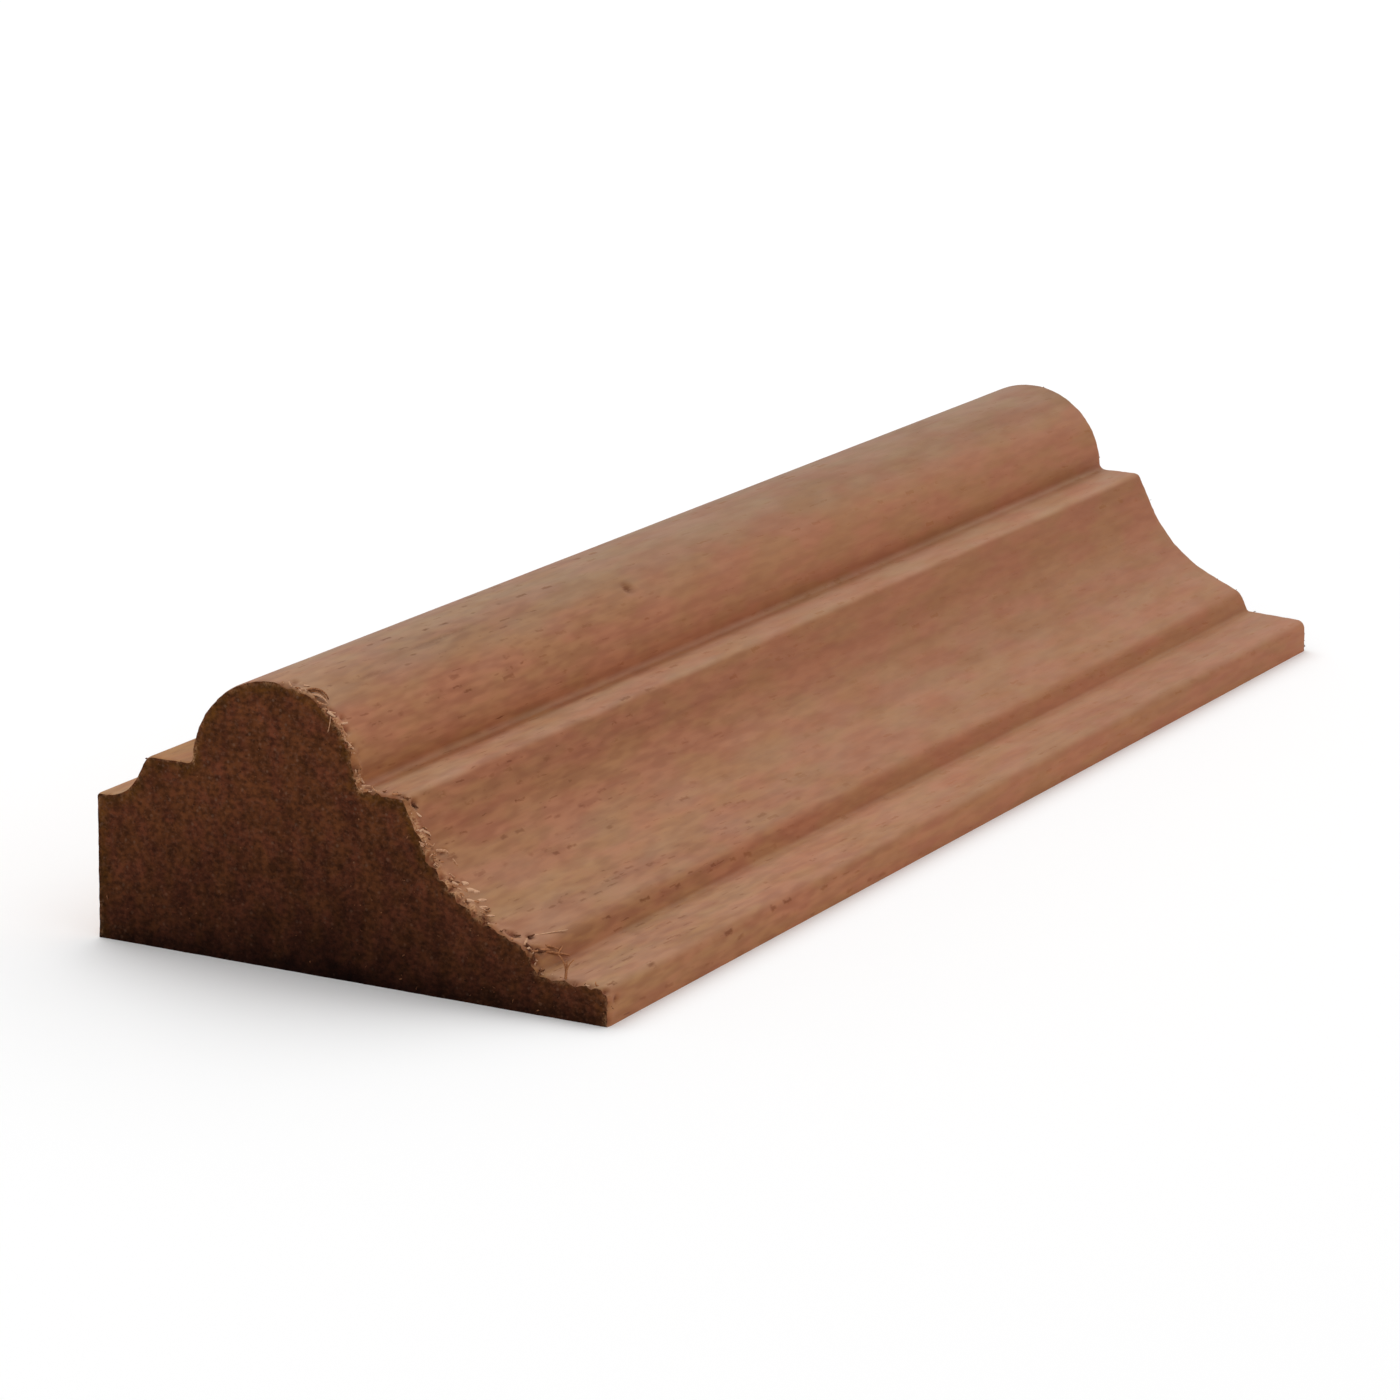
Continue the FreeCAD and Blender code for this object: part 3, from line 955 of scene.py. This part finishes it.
# Each tube is open over its own stretches of the stick
stretch = math_of(vessels, "DIVIDE", axes["X"], given["Run"])
stretch = math_of(vessels, "MULTIPLY_ADD", random_of["Green"], 37.0, stretch)
opens = {"W": stretch, "Scale": 1.0, "Detail": 0.0}
opens = node(vessels, "TexNoise", opens, noise_dimensions="1D").outputs[0]
opens = product(vessels, (opens, 0.54, 0.68), (random_of["Blue"], 0.0, 1.0, 0.4, 1.0))
vessels.links.new(math_of(vessels, "MULTIPLY", tube, opens), result["Dash"])
print("vessel group has", len(vessels.nodes), "nodes")

# %% [markdown]
# Under the vessels lies the figure: slow streaks that run the whole stick, cloudy patches and smaller
# smudges a few millimetres long, and hair-fine fibre. Each is noise, stretched by how long such a mark is
# along the grain and how narrow across it. Separate outputs let one finish show what another hides.

# %% Wood figure
streak_size = (90, 3.2, 2.2)    # mm along the stick, across it, and up
cloud_size = (8, 2.6, 2.2)
smudge_size = (3.2, 0.8, 0.7)
fibre_size = (7, 0.22, 0.22)

figure, given, result = effect_group("wood_figure", {"Position": "Vector"},
    {"Streak": "Float", "Cloud": "Float", "Hue": "Float", "Smudge": "Float", "Fibre": "Float"})
cloud = noise(figure, given["Position"], cloud_size, 2.0)
figure.links.new(cloud["Fac"], result["Cloud"])
figure.links.new(node(figure, "SeparateColor", {0: cloud["Color"]}).outputs["Green"], result["Hue"])
plain_noise = (("Streak", streak_size, 2.0), ("Smudge", smudge_size, 1.0), ("Fibre", fibre_size, 1.0))
for label, size, detail in plain_noise:
    figure.links.new(noise(figure, given["Position"], size, detail)["Fac"], result[label])
print("figure group has", len(figure.nodes), "nodes")

# %% [markdown]
# The saw's damage was worked out with the mesh and stored on its points, so the colour follows the same
# nicks and lips as the shape. Both finishes meet at that arris, and one group colours them alike there.

# %% Torn arris
burr_tan = (0.59, 0.315, 0.155)
torn_shade = (0.34, 0.16, 0.12)     # what is left of each colour in a torn hollow: darker torn wood, and the hollow's shade painted in
wisp_size = (0.5, 0.16, 0.16)       # mm

frayed, given, result = effect_group("torn_arris", {"Color": "Color", "Position": "Vector"},
    {"Color": "Color", "Gap": "Float"})
wisps = noise(frayed, given["Position"], wisp_size, 1.0)["Fac"]
pale_share = remap(frayed, wisps, 0.35, 0.6, 0.1, 1.0)
pale_share = math_of(frayed, "MULTIPLY", attribute(frayed, "burr"), pale_share)
gap_share = remap(frayed, wisps, 0.3, 0.6, 0.55, 1.0)
gap_share = math_of(frayed, "MULTIPLY", attribute(frayed, "torn"), gap_share)
pale = blend(frayed, pale_share, given["Color"], burr_tan)
frayed.links.new(blend(frayed, gap_share, pale, torn_shade, "MULTIPLY"), result["Color"])
frayed.links.new(gap_share, result["Gap"])
print("torn arris group has", len(frayed.nodes), "nodes")

# %% [markdown]
# Planed wood is matt: its gloss comes from burnished fibre and is broad and weak. The timber isn't one
# colour: a redder layer runs through it at the fillets' height, and on the faces there that don't look up
# it is also painted shade. The step's face and the other upright faces are painted redder as their shade,
# and the top of the nose is painted greyer and darker, painted shade and sheen. The back land and edge are
# a little yellower, and the back fillet is painted orange: painted warm light, which also hides its grey
# sheen. Faces that look up carry a little pale dust and a painted sheen, which is why the ledge looks
# greyer than the sides, and the roots of the step and of the nose get painted shade. We could paint all
# this by hand, but each change follows the place on the stick, so it is a slope between two places, times
# a cast that multiplies the colour. The vessels are dark and also hollow, so they drive colour and bump.

# %% Colours of the planed face
deep_red = (0.285, 0.096, 0.0365)
light_tan = (0.415, 0.169, 0.073)
pink_cast, olive_cast = (1.03, 0.955, 1.0), (0.975, 1.045, 0.93)
red_layer_and_shade = (0.90, 0.85, 0.78)      # a redder layer at the fillets' height; kept off faces that look up, it is also painted shade on the steep ones
step_shade = (1.00, 0.93, 0.83)      # the step's face painted redder and less blue: painted shade
near_cast = (0.96, 1.04, 1.01)      # low down, the last of the near end is a little less red
crown_shade_and_sheen = (0.75, 0.81, 0.80)     # the top of the nose is painted greyer and darker: painted shade and sheen
upright_shade = (1.03, 0.98, 0.90)       # upright faces are painted redder and less blue: painted shade, the warm light they get
back_fillet_light = (0.95, 0.84, 0.46)     # behind the nose the fillet is painted orange: painted warm light, which also hides its grey sheen
back_cast = (0.99, 1.05, 0.82)      # the back land and edge are a little yellower
# painted shade in the roots of the step and of the nose
root_shade = (0.68, 0.63, 0.49)
vessel_shade = (0.58, 0.46, 0.40)
# pale dust and a painted sheen on faces that look up
dust_and_sheen_grey = (0.39, 0.34, 0.24)
large_vessels = dict(Spacing=0.90, Radius=0.15, Run=2.2)    # mm
small_vessels = dict(Spacing=0.55, Radius=0.08, Run=1.8)
small_share = 0.6                   # how dark a small vessel is beside a large one


def new_material(name):
    """A material, its tree, its shader's inputs, its texture coordinates, and the place in mm."""
    material = bpy.data.materials.new(name)
    material.use_nodes = True
    tree = material.node_tree
    place = node(tree, "TexCoord").outputs
    in_mm = node(tree, "VectorMath", {0: place["Object"], 1: (1 / MM,) * 3}, operation="MULTIPLY")
    return material, tree, tree.nodes["Principled BSDF"].inputs, place, in_mm.outputs[0]


def both_vessels(tree, position, view):
    """Large and small vessels together, as tubes or as dashes."""
    large = place_group(tree, vessels, Position=position, **large_vessels)[view]
    small = place_group(tree, vessels, Position=position, **small_vessels)[view]
    return math_of(tree, "MAXIMUM", large, math_of(tree, "MULTIPLY", small, small_share))


def bumpy(tree, shader, height, strength, distance):
    """Gives a material its fine relief; the distance is in metres."""
    relief = node(tree, "Bump", {"Height": height, "Strength": strength, "Distance": distance})
    tree.links.new(relief.outputs[0], shader["Normal"])


print("planed wood goes from", deep_red, "to", light_tan)

# %% Planed face
planed, tree, shader, place, position = new_material("planed_hardwood")
x, y, z = (node(tree, "SeparateXYZ", {0: position}).outputs[name] for name in "XYZ")
upward = node(tree, "SeparateXYZ", {0: place["Normal"]}).outputs["Z"]
marks = place_group(tree, figure, Position=position)
dark = both_vessels(tree, position, "Dash")

# Damp and handling have raised the fibre towards the near end
fibre_part = math_of(tree, "MULTIPLY", math_of(tree, "SUBTRACT", marks["Fibre"], 0.5),
    remap(tree, x, 20.0, -60.0, 0.2, 0.36))
smudge_part = product(tree, (marks["Smudge"], 0.3, 0.7, -0.2, 0.2), (x, 20.0, -60.0, 0.6, 1.4))
lightness = math_of(tree, "SUBTRACT", marks["Streak"], 0.275)
lightness = math_of(tree, "MULTIPLY_ADD", marks["Cloud"], 0.5, lightness)
for part in (fibre_part, smudge_part):
    lightness = math_of(tree, "ADD", lightness, part)
tint = blend(tree, remap(tree, marks["Hue"], 0.35, 0.65), olive_cast, pink_cast)
colour = blend(tree, 1.0, blend(tree, lightness, deep_red, light_tan), tint, "MULTIPLY")
colour = cast_over(tree, colour,
    (product(tree, (z, 12.0, 14.2), (z, 20.5, 16.2), (upward, 0.88, 0.5)), red_layer_and_shade),
    (product(tree, (z, 3.5, 3.9), (z, 5.9, 5.3)), step_shade),
    (product(tree, (x, -40.0, -60.0), (z, 10.0, 7.5)), near_cast),
    (product(tree, (z, 22.6, 25.3), (x, -75.0, -58.0, 0.4, 1.0)), crown_shade_and_sheen),
    (remap(tree, upward, 0.45, 0.05), upright_shade))

# Pale dust and a painted sheen lie on what faces up, most on the fillets and not over the painted shade in
# the hollows
painted_shade = attribute(tree, "hollow_shade_and_end_rim")
dust_and_sheen = product(tree, (upward, 0.35, 1.0), (marks["Cloud"], 0.3, 0.7, 0.08, 0.20), (z, 4.0, 17.0, 0.85, 1.3),
    (z, 18.0, 22.0, 1.0, 0.8))
dust_and_sheen = math_of(tree, "MULTIPLY", dust_and_sheen, math_of(tree, "SUBTRACT", 1.0, painted_shade))
colour = blend(tree, dust_and_sheen, colour, dust_and_sheen_grey)
open_grain = math_of(tree, "MULTIPLY", dark, remap(tree, x, 0.0, -65.0, 0.12, 1.0))
colour = cast_over(tree, colour,
    # painted shade in the hollows
    (painted_shade, root_shade),
    # the back fillet painted orange: painted warm light
    (product(tree, (y, 13.5, 15.5), (z, 14.5, 16.5)), back_fillet_light),
    (remap(tree, y, 20.0, 21.5), back_cast),
    (open_grain, vessel_shade))
arris = place_group(tree, frayed, Color=colour, Position=position)
tree.links.new(arris["Color"], shader["Base Color"])

shader["IOR"].default_value = 1.32
roughness = math_of(tree, "MULTIPLY_ADD", marks["Fibre"], 0.14, 0.52)
roughness = math_of(tree, "MULTIPLY_ADD", arris["Gap"], 0.3, roughness)
tree.links.new(math_of(tree, "MULTIPLY_ADD", dark, 0.2, roughness), shader["Roughness"])
height = math_of(tree, "MULTIPLY_ADD", dark, -0.5, math_of(tree, "MULTIPLY", marks["Fibre"], 0.35))
bumpy(tree, shader, height, 0.6, 0.00007)
print("planed face has", len(tree.nodes), "nodes")

# %% [markdown]
# End grain drinks light: the saw leaves it as a brush of open tube ends, so it is several times darker than
# the planed face beside it, and its brown is darker still as painted shade, for the end faces away from the
# light. Towards the floor, and most in the middle low down, it is painted darker again: painted shade. The
# same vessels show as black holes. Between them the teeth bent over paler tufts of fibre. One flat dark
# brown would lose all that, so noise of several sizes sets the brown, its hue and its speckle, one after
# another.

# %% Colours of the sawn end
# end_brown is partly painted shade, and end_foot is the painted shade at the foot
end_brown = (0.109, 0.0335, 0.0138)
end_foot = (0.0075, 0.0026, 0.0020)
end_hole = (0.012, 0.0045, 0.003)
end_rim = (0.88, 1.00, 0.62)        # just inside the arris the brush is matted and more olive
red_patch, olive_patch = (1.03, 0.97, 1.09), (0.98, 1.02, 0.90)
fleck_pink = (0.20, 0.11, 0.070)
bent_over = (0.143, 0.060, 0.034)   # fibre that the teeth bent over shows its side
foot_shade = 0.55        # how much more painted shade the lowest two millimetres get
shade_top = 17.0         # mm above the floor where the painted shade begins
shade_middle = 4.0       # mm across the section from its middle, where the painted shade reaches highest
shade_fall = 0.013       # mm lower for each square mm to either side of that
shade_patch = 3.0        # mm up or down by patches
print("sawn end goes from", end_foot, "to", end_brown)

# %% Painted shade on the sawn end
sawn, tree, shader, place, position = new_material("sawn_end_grain")
axes = node(tree, "SeparateXYZ", {0: position}).outputs
blotch = noise(tree, position, (3.0, 1.9, 2.2), 1.0)
aside = math_of(tree, "SUBTRACT", axes["Y"], shade_middle)
height = math_of(tree, "MULTIPLY_ADD", math_of(tree, "MULTIPLY", aside, aside), shade_fall, axes["Z"])
patch = math_of(tree, "SUBTRACT", blotch["Fac"], 0.5)
height = math_of(tree, "MULTIPLY_ADD", patch, shade_patch, height)
unshaded = node(tree, "Math", {0: height, 1: shade_top}, operation="DIVIDE", use_clamp=True).outputs[0]
colour = blend(tree, math_of(tree, "POWER", unshaded, 0.65), end_foot, end_brown)
hue = node(tree, "SeparateColor", {0: blotch["Color"]}).outputs["Green"]
hue = math_of(tree, "ADD", hue, 0.06)
hue = math_of(tree, "MULTIPLY_ADD", unshaded, -0.12, hue)      # redder towards the floor
tint = blend(tree, remap(tree, hue, 0.35, 0.65), olive_patch, red_patch)
colour = blend(tree, 1.0, colour, tint, "MULTIPLY")
# painted shade at the very foot of the end
colour = blend(tree, remap(tree, axes["Z"], 2.2, 0.2, 0.0, foot_shade), colour, end_foot)
print("dirt begins", shade_top, "mm above the floor")

# %% Sawn end
fuzz = noise(tree, position, (0.8, 0.6, 0.45), 2.0)["Fac"]
upright = noise(tree, position, (3.0, 0.8, 5.0), 1.0)["Fac"]
level = noise(tree, position, (3.0, 2.4, 0.4), 1.0)["Fac"]
speckle = product(tree, (fuzz, 0.3, 0.7, 0.68, 1.32), (blotch["Fac"], 0.3, 0.7, 0.84, 1.16),
    (upright, 0.3, 0.7, 0.94, 1.06))
# The saw's level scratches show high up
scratched = product(tree, (axes["Z"], 12.0, 19.0), (level, 0.3, 0.7, -0.14, 0.14))
speckle = math_of(tree, "MULTIPLY_ADD", speckle, scratched, speckle)
shade = node(tree, "CombineColor", {0: speckle, 1: speckle, 2: speckle}).outputs[0]
colour = cast_over(tree, colour, (1.0, shade), (attribute(tree, "hollow_shade_and_end_rim"), end_rim))

# Pink flecks, fibre that was bent over, and the vessels' holes
flecks = node(tree, "TexVoronoi", {"Vector": position, "Scale": 1.0}).outputs["Distance"]
fleck_strength = math_of(tree, "MULTIPLY_ADD", unshaded, 0.30, 0.08)
flecks = math_of(tree, "MULTIPLY", remap(tree, flecks, 0.20, 0.08), fleck_strength)
brushed = remap(tree, noise(tree, position, (0.9, 0.32, 0.26), 1.0)["Fac"], 0.52, 0.74, 0.0, 0.5)
holes = both_vessels(tree, position, "Tube")
for share, laid in ((flecks, fleck_pink), (math_of(tree, "MULTIPLY", brushed, unshaded), bent_over),
        (math_of(tree, "MULTIPLY", holes, 0.28), end_hole)):
    colour = blend(tree, share, colour, laid)
arris = place_group(tree, frayed, Color=colour, Position=position)
tree.links.new(arris["Color"], shader["Base Color"])
shader["IOR"].default_value = 1.12
tree.links.new(remap(tree, fuzz, 0.3, 0.7, 0.8, 0.97), shader["Roughness"])
bumpy(tree, shader, math_of(tree, "SUBTRACT", fuzz, holes), 0.6, 0.00012)
print("sawn end has", len(tree.nodes), "nodes")

# %% [markdown]
# A torn fibre is one strand of the same wood. Its colour depends on what it was torn from: fresh pale wood,
# orange, or the brown skin of the sawn face, and it also carries painted light and shade: paler where a
# fibre catches the light, darker where it stands in shadow. A material for each would be plain, and their
# borders would show, so each fibre carries that as a number on its points, the tone, and one material reads
# it.

# %% Torn fibre
# the pale tone is partly painted light, the dark tone partly painted shade
fibre_pale, fibre_orange, fibre_dark = (0.64, 0.38, 0.235), (0.40, 0.165, 0.070), (0.110, 0.039, 0.018)

strand, tree, shader, place, position = new_material("torn_fibre")
streaks = noise(tree, position, (0.4, 0.12, 0.12), 1.0)["Fac"]
tone = math_of(tree, "ADD", attribute(tree, "tone"), remap(tree, streaks, 0.3, 0.7, -0.12, 0.12))
colour = blend(tree, remap(tree, tone, 0.0, 0.5), fibre_pale, fibre_orange)
tree.links.new(blend(tree, remap(tree, tone, 0.5, 0.95), colour, fibre_dark), shader["Base Color"])
shader["IOR"].default_value = 1.2
tree.links.new(remap(tree, streaks, 0.3, 0.7, 0.75, 0.95), shader["Roughness"])
bumpy(tree, shader, streaks, 0.5, 0.00003)
for piece in (arris_fibres, end_stubs):
    piece.data.materials.append(strand)
    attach(piece, "root")
print("torn fibre has", len(tree.nodes), "nodes")

# %% Dress the stick
stick_mesh.materials.append(planed)
stick_mesh.materials.append(sawn)
stick_mesh.polygons.foreach_set("material_index", is_sawn.astype(np.int32))

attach(stick, "root")
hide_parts("moulding")
print(int(is_sawn.sum()), "faces are sawn")
